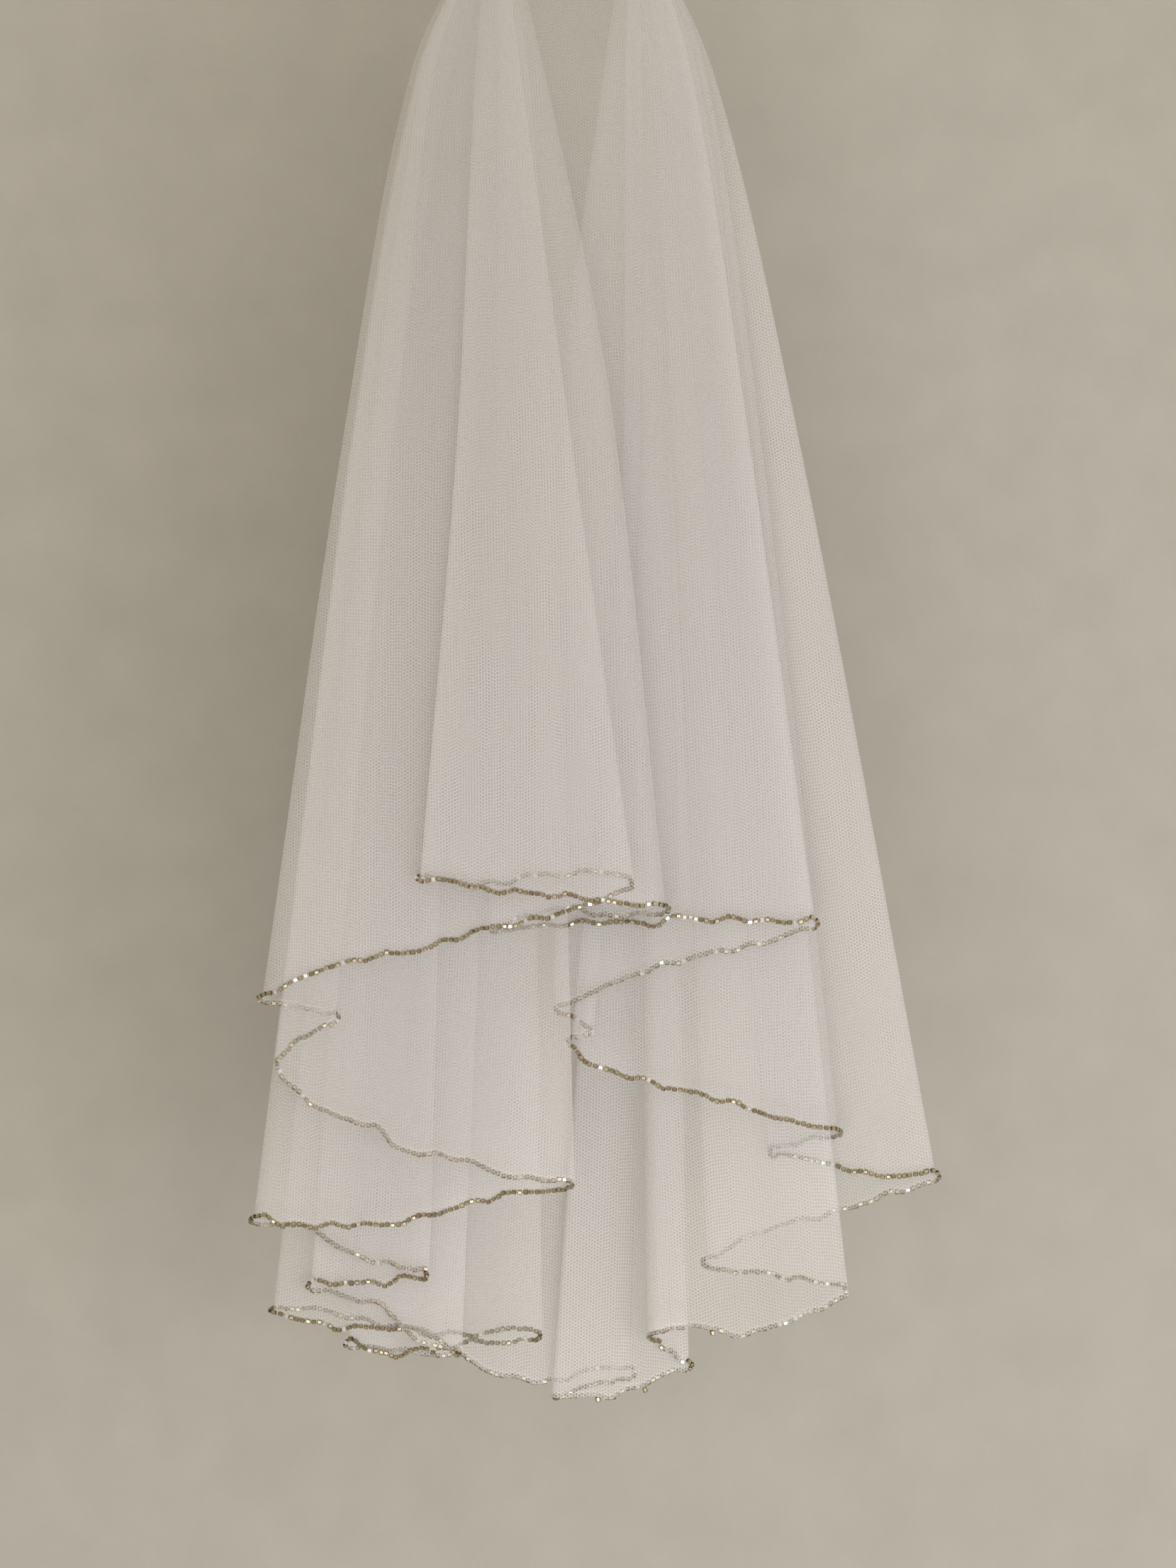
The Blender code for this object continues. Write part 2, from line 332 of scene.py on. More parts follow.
def smooth_through(heights: tuple[float, ...], values: tuple[float, ...], at: np.ndarray) -> np.ndarray:
    """Values at some places on a curve that passes every point without overshoot.

    The heights of the points rise, and past the last one the curve goes on straight.
    """
    h = np.array(heights, float)
    v = np.array(values, float)
    spans = np.diff(h)
    slopes = np.diff(v) / spans
    left, right = slopes[:-1], slopes[1:]
    same_way = left * right > 0
    between = np.where(same_way, 2 * left * right / np.where(same_way, left + right, 1.0), 0.0)
    tangents = np.concatenate([slopes[:1], between, slopes[-1:]])
    i = np.clip(np.searchsorted(h, at, side="right") - 1, 0, len(spans) - 1)
    t = (at - h[i]) / spans[i]
    rise = t * t * (3 - 2 * t)
    inside = (
        v[i] * (1 - rise)
        + v[i + 1] * rise
        + spans[i] * (tangents[i] * t * (1 - t) ** 2 - tangents[i + 1] * t * t * (1 - t))
    )
    return np.where(at >= h[-1], v[-1] + tangents[-1] * (at - h[-1]), inside)


@dataclass(frozen=True)
class Column:
    """One upright line of the net: a place in panel k, or a step round the fold that ends it."""

    k: int
    share: float
    turning: bool


@dataclass(frozen=True)
class Wave:
    """One small wave across the panels, which differs from panel to panel and may lean as it goes down."""

    size: float
    length: float
    panel_phase: float
    lean: float = 0.0

    def at(self, along: float, k: int, down: float | np.ndarray = 0.0) -> float | np.ndarray:
        """Its height at a distance across panel k and a share of the longest drop."""
        return self.size * np.sin(along / self.length + self.panel_phase * k + self.lean * down)


@dataclass
class Drape:
    """How the net falls: where each column of it is at each drop below the comb, in millimetres.

    Folds are counted round the hem from 0, and k is one of them. Layers are counted from the front.
    The methods take an array of drops and give a value for each.
    """

    head_pitch: float = 1.55
    hem_pitch: float = 5.6
    longest_drop: float = 736.0
    upper_drop: float = 77.0
    middle_drop: float = 245.0
    swing_share: float = 0.4
    swing_drop: float = 52.0
    middle_layer: float = 10.5
    layer_lean: float = 3.3
    head_half_width: float = 36.0
    hem_half_width: float = 150.0
    widest_turn: float = 7.0
    turn_share: float = 0.34
    bow: float = 0.16
    back_panel: int = 13
    back_start_layer: float = 15.0
    back_settled: float = 0.85
    column_step: float = 4.6
    fewest_columns: int = 5
    turn_steps: int = 7
    ripple: float = 0.2
    ripples: tuple[Wave, ...] = (Wave(1.0, 6.1, 2.1, 1.5), Wave(0.55, 3.1, 3.99, -2.2))
    scallop: float = 0.9
    scallops: tuple[Wave, ...] = (Wave(1.0, 3.9, 1.7), Wave(0.7, 2.45, 3.91))
    scallop_fade: float = 0.2
    tip_drop: float = 3.0
    tip_share: float = 0.125
    tip_reach: float = 5.0
    trim_blur: float = 7.0
    narrow_panel: float = 20.0

    def swing(self, drop: np.ndarray) -> np.ndarray:
        """How far the layers have spread, from 0 at the comb to 1 at the longest hem."""
        at_once = 1 - np.exp(-drop / self.swing_drop)
        return self.swing_share * at_once + (1 - self.swing_share) * drop / self.longest_drop

    def pitch(self, drop: np.ndarray) -> np.ndarray:
        """Distance from layer to layer."""
        return self.head_pitch + (self.hem_pitch - self.head_pitch) * self.swing(drop)

    def depth(self, layer: float | np.ndarray, x: np.ndarray, drop: np.ndarray) -> np.ndarray:
        """Y of a layer at places x across the veil."""
        half_width = self.head_half_width + (self.hem_half_width - self.head_half_width) * self.swing(drop)
        middle = self.middle_layer + self.layer_lean * np.tanh(x / half_width)
        return (layer - middle) * self.pitch(drop)

    def fold_x(self, k: int, drop: np.ndarray) -> np.ndarray:
        """X of fold k."""
        fold = FOLDS[k % len(FOLDS)]
        heights = (0.0, self.upper_drop, self.middle_drop, fold.drop)
        return smooth_through(heights, (fold.head, fold.upper, fold.middle, fold.hem), drop)

    def turn_sign(self, k: int) -> int:
        """-1 for a fold at the left edge of its panels, +1 for one at the right edge."""
        return 1 if k % len(FOLDS) % 2 else -1

    def layer_in(self, k: int) -> float:
        """Layer of the panel that ends in fold k."""
        return FOLDS[k % len(FOLDS)].layer

    def layer_out(self, k: int) -> float:
        """Layer in which the next panel leaves fold k."""
        if (k + 1) % len(FOLDS) == self.back_panel:
            return self.back_start_layer
        return self.layer_in(k + 1)

    def turn_radius(self, k: int, drop: np.ndarray) -> np.ndarray:
        """Half the width of fold k's rounding, no more than the fold's depth and its two panels allow."""
        across = abs(self.layer_out(k) - self.layer_in(k)) / 2 * self.pitch(drop)
        here = self.fold_x(k, drop)
        shortest = np.minimum(abs(here - self.fold_x(k - 1, drop)), abs(here - self.fold_x(k + 1, drop)))
        return np.minimum(np.minimum(across, self.turn_share * shortest), self.widest_turn)

    def columns(self) -> list[Column]:
        """All upright lines of the net, in order round the hem."""
        found = []
        for k, fold in enumerate(FOLDS):
            width = abs(fold.hem - FOLDS[k - 1].hem)
            count = max(round(width / self.column_step), self.fewest_columns)
            found += [Column(k, (i + 1) / (count + 1), False) for i in range(count)]
            found += [Column(k, i / self.turn_steps, True) for i in range(self.turn_steps + 1)]
        return found

    def tip(self, k: int) -> float:
        """How far the edge falls as it rounds fold k, so that its chains meet in a curl, not in a point."""
        after = FOLDS[(k + 1) % len(FOLDS)].drop - FOLDS[k - 1].drop
        return math.copysign(min(self.tip_drop, self.tip_share * abs(after)), after)

    def hem_drop(self, column: Column) -> float:
        """Drop of the hem at a column, with the dips and lifts of its panel's edge."""
        fold, before = FOLDS[column.k], FOLDS[column.k - 1]
        if column.turning:
            return fold.drop + self.tip(column.k) * math.sin(math.pi * (column.share - 0.5))
        share = column.share
        straight = before.drop + (fold.drop - before.drop) * share
        width = abs(fold.hem - before.hem)
        eased = self.tip_reach / max(width, 4 * self.tip_reach)
        straight += self.tip(column.k - 1) * math.exp(-share / eased)
        straight -= self.tip(column.k) * math.exp(-(1 - share) / eased)
        places = [0.0, *(p[0] for p in fold.trim), 1.0]
        extra = [0.0, *(p[1] for p in fold.trim), 0.0]
        # The mean over a short stretch rounds the corners of the trim
        steps = np.linspace(-0.5, 0.5, 9) * self.trim_blur / max(width, self.narrow_panel)
        dips = float(np.mean(np.interp(np.clip(share + steps, 0, 1), places, extra)))
        fade = min(1.0, share / self.scallop_fade, (1 - share) / self.scallop_fade)
        small = sum(wave.at(share * width, column.k) for wave in self.scallops)
        return straight + dips + self.scallop * small * fade

    def place(self, column: Column, drop: np.ndarray) -> tuple[np.ndarray, np.ndarray]:
        """X and Y of a column."""
        k = column.k
        sign = self.turn_sign(k)
        if column.turning:
            angle = math.pi * (column.share - 0.5)
            x = self.fold_x(k, drop) - sign * self.turn_radius(k, drop) * (1 - math.cos(angle))
            before, after = self.layer_in(k), self.layer_out(k)
            layer = (before + after) / 2 + (after - before) / 2 * math.sin(angle)
            return x, self.depth(layer, x, drop)
        start = self.fold_x(k - 1, drop) + sign * self.turn_radius(k - 1, drop)
        end = self.fold_x(k, drop) - sign * self.turn_radius(k, drop)
        share = column.share
        x = start + (end - start) * share
        before, after = self.layer_out(k - 1), self.layer_in(k)
        settled = min(share / self.back_settled, 1.0) if before != after else share
        layer = before + (after - before) * settled * settled * (3 - 2 * settled)
        room = self.pitch(drop) - self.head_pitch
        bow = self.bow * math.sin(2 * math.pi * share) * sign
        return x, self.depth(layer, x, drop) + room * (bow + self.troughs(column, drop))

    def troughs(self, column: Column, drop: np.ndarray) -> np.ndarray:
        """Soft troughs and ridges that run down a panel, as a share of the room between layers."""
        along = column.share * abs(FOLDS[column.k].hem - FOLDS[column.k - 1].hem)
        fade = math.sqrt(math.sin(math.pi * column.share))
        waves = sum(wave.at(along, column.k, drop / self.longest_drop) for wave in self.ripples)
        return self.ripple * fade * waves / sum(wave.size for wave in self.ripples)


@dataclass(frozen=True)
class Tulle:
    """Ivory bobbinet tulle: very fine nylon yarn twisted into six-sided holes, washed soft and unstiffened.

    One layer hides only about a quarter of what is behind it, so the folds show as steps of brightness where
    layers lie over each other. The yarn is dull, and light reaches the next layer through the holes.
    """

    yarn: str = "F0ECE8"
    hole_width: float = 1.7 * MM
    coverage_yarn: float = 0.33
    coverage_hole: float = 0.13
    yarn_edge: tuple[float, float] = (0.45, 0.02)
    roughness: float = 0.3

    def material(self) -> bpy.types.Material:
        """Makes the net's material.

        Returns:
            A see-through material whose yarn is drawn by the cloth's own measure.
        """
        material, tree = new_material("ivory_tulle")
        cut = add_node(tree, "UVMap", {"uv_map": "cut"})
        # The real holes are 1.15 mm wide and can't show here, so they are drawn half as wide again.
        # With a = wave * across and b = wave * sqrt(3) * up, cos(a) * (cos(a) + cos(b)) is highest in the
        # middle of each six-sided hole and lowest along the yarns between them.
        wave = 2 * math.pi / (self.hole_width * math.sqrt(3))
        scale = (wave, wave * math.sqrt(3), 0.0)
        scaled = add_node(tree, "VectorMath", {"operation": "MULTIPLY"}, {0: cut.outputs["UV"], 1: scale})
        cosines = add_node(tree, "VectorMath", {"operation": "COSINE"}, {0: scaled})
        waves = add_node(tree, "SeparateXYZ", {}, {0: cosines})
        both = add_node(tree, "Math", {"operation": "ADD"}, {0: waves.outputs["X"], 1: waves.outputs["Y"]})
        holes = add_node(tree, "Math", {"operation": "MULTIPLY"}, {0: both, 1: waves.outputs["X"]})
        yarn = add_node(
            tree,
            "MapRange",
            {},
            {"Value": holes, "From Min": self.yarn_edge[0], "From Max": self.yarn_edge[1],
             "To Min": self.coverage_hole, "To Max": self.coverage_yarn},
        )
        # The net's cover from the mesh, partly painted light from the pleats table
        cover_and_light = add_node(tree, "Attribute", {"attribute_name": "closeness"})
        cover = add_node(tree, "Math", {"operation": "MULTIPLY"}, {0: yarn, 1: cover_and_light.outputs["Fac"]})
        net = add_node(
            tree, "BsdfDiffuse", {}, {"Color": linear(self.yarn), "Roughness": self.roughness}
        )
        clear = add_node(tree, "BsdfTransparent", {}, {"Color": CLEAR})
        surface = add_node(tree, "MixShader", {}, {0: cover, 1: clear, 2: net})
        finish_surface(tree, surface)
        return material


@dataclass(frozen=True)
class SilverLinedGlass:
    """Six-sided cut-glass beads, drawn as a tube and fire polished, with a silvered bore.

    The lining sends light back through the tinted glass, so each facet is either bright or dark.
    """

    name: str = "champagne_silver_lined_glass"
    tint: str = "B2A483"
    deep: str = "887856"
    # Colour of the ends and the bore: the lining's dark edge, with painted shade for the gaps between beads
    end: str = "3E321E"
    roughness: float = 0.2
    lining: float = 0.4
    coat: float = 0.7
    coat_roughness: float = 0.06

    def material(self) -> bpy.types.Material:
        """Makes the beads' material.

        Returns:
            A bright glassy material whose tint changes from bead to bead.
        """
        material, tree = new_material(self.name)
        place = add_node(tree, "UVMap", {"uv_map": "chain"})
        chain = add_node(tree, "SeparateXYZ", {}, {0: place.outputs["UV"]})
        # One step of this noise is one bead, 2.8 mm along the chain
        batch = add_node(tree, "TexWhiteNoise", {"noise_dimensions": "1D"}, {"W": chain.outputs["X"]})
        glass = blend(tree, batch.outputs["Value"], linear(self.deep), linear(self.tint))
        # The sawn ends, the eased edges and the bore are painted darker: partly the dark of the lining's
        # edge, partly painted shade in the gaps between beads and down the bore
        colour = blend(tree, chain.outputs["Y"], glass, linear(self.end))
        shader = add_node(
            tree,
            "BsdfPrincipled",
            {},
            {"Base Color": colour, "Metallic": self.lining, "Roughness": self.roughness,
             "Coat Weight": self.coat, "Coat Roughness": self.coat_roughness},
        )
        finish_surface(tree, shader)
        return material


@dataclass(frozen=True)
class SewingThread:
    """Ivory polyester sewing thread, spun and lightly waxed."""

    colour: str = "D9CFBC"
    # Painted shade in the grooves between the plies
    painted_groove_shade: str = "BFB49E"
    twist: float = 5.03 * MM
    roughness: float = 0.7
    sheen: float = 0.2

    def material(self) -> bpy.types.Material:
        """Makes the thread's material.

        Returns:
            A matt material with the thread's twist.
        """
        material, tree = new_material("ivory_polyester_thread")
        # The plies are drawn with a slacker twist than they have, so that it shows. The grooves between them
        # are painted darker: painted shade.
        bands = {"wave_type": "BANDS", "bands_direction": "DIAGONAL"}
        plies = object_texture(tree, "TexWave", bands, Scale=1 / self.twist / WAVE_BANDS)
        colour = blend(tree, plies.outputs["Fac"], linear(self.painted_groove_shade), linear(self.colour))
        shader = add_node(
            tree,
            "BsdfPrincipled",
            {},
            {"Base Color": colour, "Roughness": self.roughness, "Sheen Weight": self.sheen},
        )
        finish_surface(tree, shader)
        return material


@dataclass(frozen=True)
class SatinRibbon:
    """Ivory polyester satin ribbon, woven with long floats: bright along one way and matt in folds."""

    colour: str = "E9E0D2"
    shade: str = "CFC4B3"
    rib_pitch: float = 3.14 * MM
    rib_height: float = 0.1 * MM
    roughness: float = 0.34
    sheen: float = 0.3
    grain: float = 0.5

    def material(self) -> bpy.types.Material:
        """Makes the ribbon's material.

        Returns:
            A glossy woven material.
        """
        material, tree = new_material("ivory_satin_ribbon")
        # The satin's floats are far finer than this and show as soft uneven ribs across the ribbon
        bands = {"wave_type": "BANDS", "bands_direction": "X"}
        ribs = object_texture(
            tree, "TexWave", bands, Scale=1 / self.rib_pitch / WAVE_BANDS, Distortion=1.2, Detail=2.0,
            Detail_Scale=3.0,
        )
        cloud = object_texture(tree, "TexNoise", {}, Scale=90.0)
        colour = blend(tree, cloud.outputs["Fac"], linear(self.shade), linear(self.colour))
        bump = add_node(
            tree, "Bump", {}, {"Strength": 0.25, "Distance": self.rib_height, "Height": ribs.outputs["Fac"]}
        )
        shader = add_node(
            tree,
            "BsdfPrincipled",
            {},
            {"Base Color": colour, "Roughness": self.roughness, "Sheen Weight": self.sheen,
             "Anisotropic": self.grain, "Normal": bump},
        )
        finish_surface(tree, shader)
        return material


@dataclass(frozen=True)
class CelluloseAcetate:
    """Cream cellulose acetate, moulded and tumbled smooth: cloudy, a little see-through and glossy."""

    colour: str = "DCCFB6"
    cloud: str = "EDE3CF"
    index: float = 1.48
    depth: tuple[float, float, float] = (2.0 * MM, 1.6 * MM, 1.0 * MM)
    depth_share: float = 0.25
    coat: float = 0.3
    roughness: tuple[float, float] = (0.2, 0.36)

    def material(self) -> bpy.types.Material:
        """Makes the comb's material.

        Returns:
            A cloudy glossy plastic.
        """
        material, tree = new_material("cream_cellulose_acetate")
        cloud = object_texture(tree, "TexNoise", {}, Scale=70.0, Detail=4.0, Distortion=0.8)
        colour = blend(tree, cloud.outputs["Fac"], linear(self.colour), linear(self.cloud))
        worn = object_texture(tree, "TexNoise", {}, Scale=900.0)
        low, high = self.roughness
        rough = add_node(tree, "MapRange", {}, {"Value": worn.outputs["Fac"], "To Min": low, "To Max": high})
        shader = add_node(
            tree,
            "BsdfPrincipled",
            {},
            {"Base Color": colour, "Roughness": rough, "IOR": self.index, "Coat Weight": self.coat,
             "Subsurface Weight": self.depth_share, "Subsurface Radius": self.depth},
        )
        finish_surface(tree, shader)
        return material


@dataclass
class Net:
    """The tulle: one piece that goes all the way round, from the gathers in the binding to the beaded edge.

    Lengths are in millimetres. Roll holds the heights above the edge at which the rolled edge has points.
    The panels in tight_roll have an edge that is rolled more tightly. In rolled_over are those whose edge
    lies wrong side out, and between which shares of their width. The pleats table gives each panel's cover
    at the
    pleat_drops, as a multiple of one flat layer's. It is partly closer net in small pleats and partly
    painted light:
    thinner net where the veil is in shade, near the comb and on the left, and closer net where it is
    brightly lit, lowest down.
    """

    drape: Drape
    rows: int = 94
    row_crowding: float = 0.9
    above_roll: float = 2.0
    tuck: float = 1.5
    roll: tuple[float, ...] = (3.4, 2.8, 1.4)
    roll_height: float = 2.9
    roll_cover: float = 1.25
    tight_roll: dict[int, float] = field(default_factory=lambda: {3: 2.6, 4: 1.7, 23: 2.2})
    rolled_over: dict[int, tuple[float, float]] = field(
        default_factory=lambda: {12: (0.0, 0.56), 16: (0.0, 1.0)}
    )
    crease_cover: float = 1.1
    crease_width: float = 0.17
    handling: float = 0.05
    grain_offset: float = 0.2
    pleat_drops: tuple[float, ...] = (0.0, 120.0, 300.0, 520.0, 640.0, 760.0)
    flat: tuple[float, ...] = (0.4, 0.6, 0.95, 1.0, 1.0, 1.0)
    # Cover by panel and drop, partly small pleats and partly painted light: lower where the veil is shaded,
    # higher where it is brightly lit
    pleats: dict[int, tuple[float, ...]] = field(
        default_factory=lambda: {
            **{k: (0.3, 0.3, 0.5, 0.6, 0.8, 1.0) for k in (3, 4)},
            **{k: (0.3, 0.3, 0.5, 0.75, 0.95, 1.0) for k in range(5, 11)},
            11: (0.3, 0.3, 0.5, 0.65, 0.55, 0.5),
            12: (0.4, 0.6, 1.1, 0.9, 0.65, 0.5),
            13: (0.5, 0.8, 1.2, 1.3, 1.5, 1.5),
            14: (0.4, 0.6, 1.0, 1.0, 0.75, 0.6),
            15: (0.4, 0.6, 1.0, 1.3, 1.6, 1.7),
            16: (0.4, 0.6, 1.0, 1.2, 1.45, 1.5),
            17: (0.4, 0.6, 1.0, 1.1, 1.2, 1.2),
            **{k: (0.5, 0.7, 1.1, 1.05, 1.0, 1.0) for k in (18, 21)},
            **{k: (0.6, 1.0, 1.4, 1.25, 1.1, 1.05) for k in (19, 20)},
        }
    )
    finish: Tulle = field(default_factory=Tulle)

    def __post_init__(self) -> None:
        """Works out every point of the net."""
        self.columns = self.drape.columns()
        self.hems = np.array([self.drape.hem_drop(c) for c in self.columns])
        grid = []
        for column, hem in zip(self.columns, self.hems):
            lowest = hem - self.roll[0] - self.above_roll
            down = np.linspace(0, 1, self.rows) ** self.row_crowding * lowest
            drop = np.concatenate([[-self.tuck], down, hem - np.array(self.roll), [hem]])
            x, y = self.drape.place(column, np.maximum(drop, 0.0))
            grid.append(np.stack([x, y, -drop], axis=1))
        self.grid = np.array(grid) * MM

    def hem_line(self) -> np.ndarray:
        """The net's edge, one point for each column, as a closed line."""
        return self.grid[:, -1, :]

    def bead_side(self) -> np.ndarray:
        """The beads' side of the net at each column: 1 on its right side, -1 where it has rolled over."""
        sides = []
        for column in self.columns:
            start, end = self.rolled_over.get(column.k, (0.0, 0.0))
            sides.append(-1.0 if not column.turning and start < column.share < end else 1.0)
        return np.array(sides)

    def build(self) -> bpy.types.Object:
        """Builds the net.

        Returns:
            The net as one open sheet that closes round.
        """
        count, rows = self.grid.shape[:2]
        points = self.grid.reshape(-1, 3)
        i = np.arange(count)
        j = np.arange(rows - 1)
        left = (i[:, None] * rows + j).ravel()
        right = ((i[:, None] + 1) % count * rows + j).ravel()
        quads = np.stack([left, right, right + 1, left + 1], axis=1)
        mesh = new_mesh("net", points, [tuple(q) for q in quads.tolist()])
        self.measure(mesh, quads, count, rows)
        close = mesh.attributes.new("closeness", "FLOAT", "POINT")
        close.data.foreach_set("value", self.closeness().astype(np.float32).ravel())
        return new_piece("net", mesh, [self.finish.material()])

    def closeness(self) -> np.ndarray:
        """How much net lies in small pleats, pressed folds and the rolled edge, all too fine for the mesh,
        with painted light in the pleats' share: thinner net where the veil is shaded and closer net where it
        is lit.

        Returns:
            For each point of the grid, the net's cover as a multiple of one flat layer's.
        """
        found = []
        for i, (column, hem, line) in enumerate(zip(self.columns, self.hems, self.grid)):
            after = (column.k + 1) % len(FOLDS) if column.turning else column.k
            share = column.share if column.turning else 0.0
            # The pleats table's cover is partly painted light, lower in the veil's shaded stretches and
            # higher where it is lit
            here = self.pleats.get(column.k, self.flat)
            there = self.pleats.get(after, self.flat)
            values = np.array(here) * (1 - share) + np.array(there) * share
            drop = -line[:, 2] / MM
            cover = np.interp(drop, self.pleat_drops, values)
            if column.turning:
                cover *= 1 + self.crease_cover * math.exp(-(((share - 0.5) / self.crease_width) ** 2))
            # Handling leaves the net a little closer in some places than in others
            uneven = np.sin(i / 7.3 + drop / 41) + np.sin(i / 3.1 - drop / 97 + 1.3)
            cover *= 1 + self.handling * uneven
            # The edge is rolled once and overcast, which makes a closer band along the beads
            band = self.tight_roll.get(column.k, self.roll_cover)
            rolled = hem - drop < self.roll_height
            found.append(np.where(rolled, cover * band, cover))
        return np.array(found)

    def measure(self, mesh: bpy.types.Mesh, quads: np.ndarray, count: int, rows: int) -> None:
        """Gives each corner of the net its place on the cloth: metres across its panel and up from the edge.

        The grain hangs straight down the middle of each panel, and its seam is hidden in the fold's turn.

        Args:
            mesh: The net's mesh.
            quads: Its faces.
            count: How many columns it has.
            rows: How many points each column has.
        """
        step = np.linalg.norm(np.roll(self.grid, -1, axis=0) - self.grid, axis=2)
        along = np.concatenate([np.zeros((1, rows)), np.cumsum(step, axis=0)])
        panel = np.array([(c.k + (c.turning and c.share > 0.5)) % len(FOLDS) for c in self.columns])
        middle = np.zeros((len(FOLDS), rows))
        for k in range(len(FOLDS)):
            inside = [i for i, c in enumerate(self.columns) if c.k == k and not c.turning]
            middle[k] = along[inside[len(inside) // 2]] - self.grain_offset * k
        up = np.linalg.norm(np.diff(self.grid, axis=1), axis=2)
        above = np.concatenate([np.cumsum(up[:, ::-1], axis=1)[:, ::-1], np.zeros((count, 1))], axis=1)
        column, row = quads // rows, quads % rows
        first = column[:, :1]
        # A face's right side is one step on from its left side, also where the columns start again
        place = np.concatenate([first, first + 1, first + 1, first], axis=1)
        across = along[place, row] - middle[panel[first], row]
        # The last columns belong to the first panel, so they are measured back from it
        wrapped = (first >= count - self.drape.turn_steps // 2) & (panel[first] == 0)
        across -= np.where(wrapped, along[-1][row], 0.0)
        height = above[column, row]
        layer = mesh.uv_layers.new(name="cut")
        layer.data.foreach_set("uv", np.stack([across, height], axis=2).astype(np.float32).ravel())


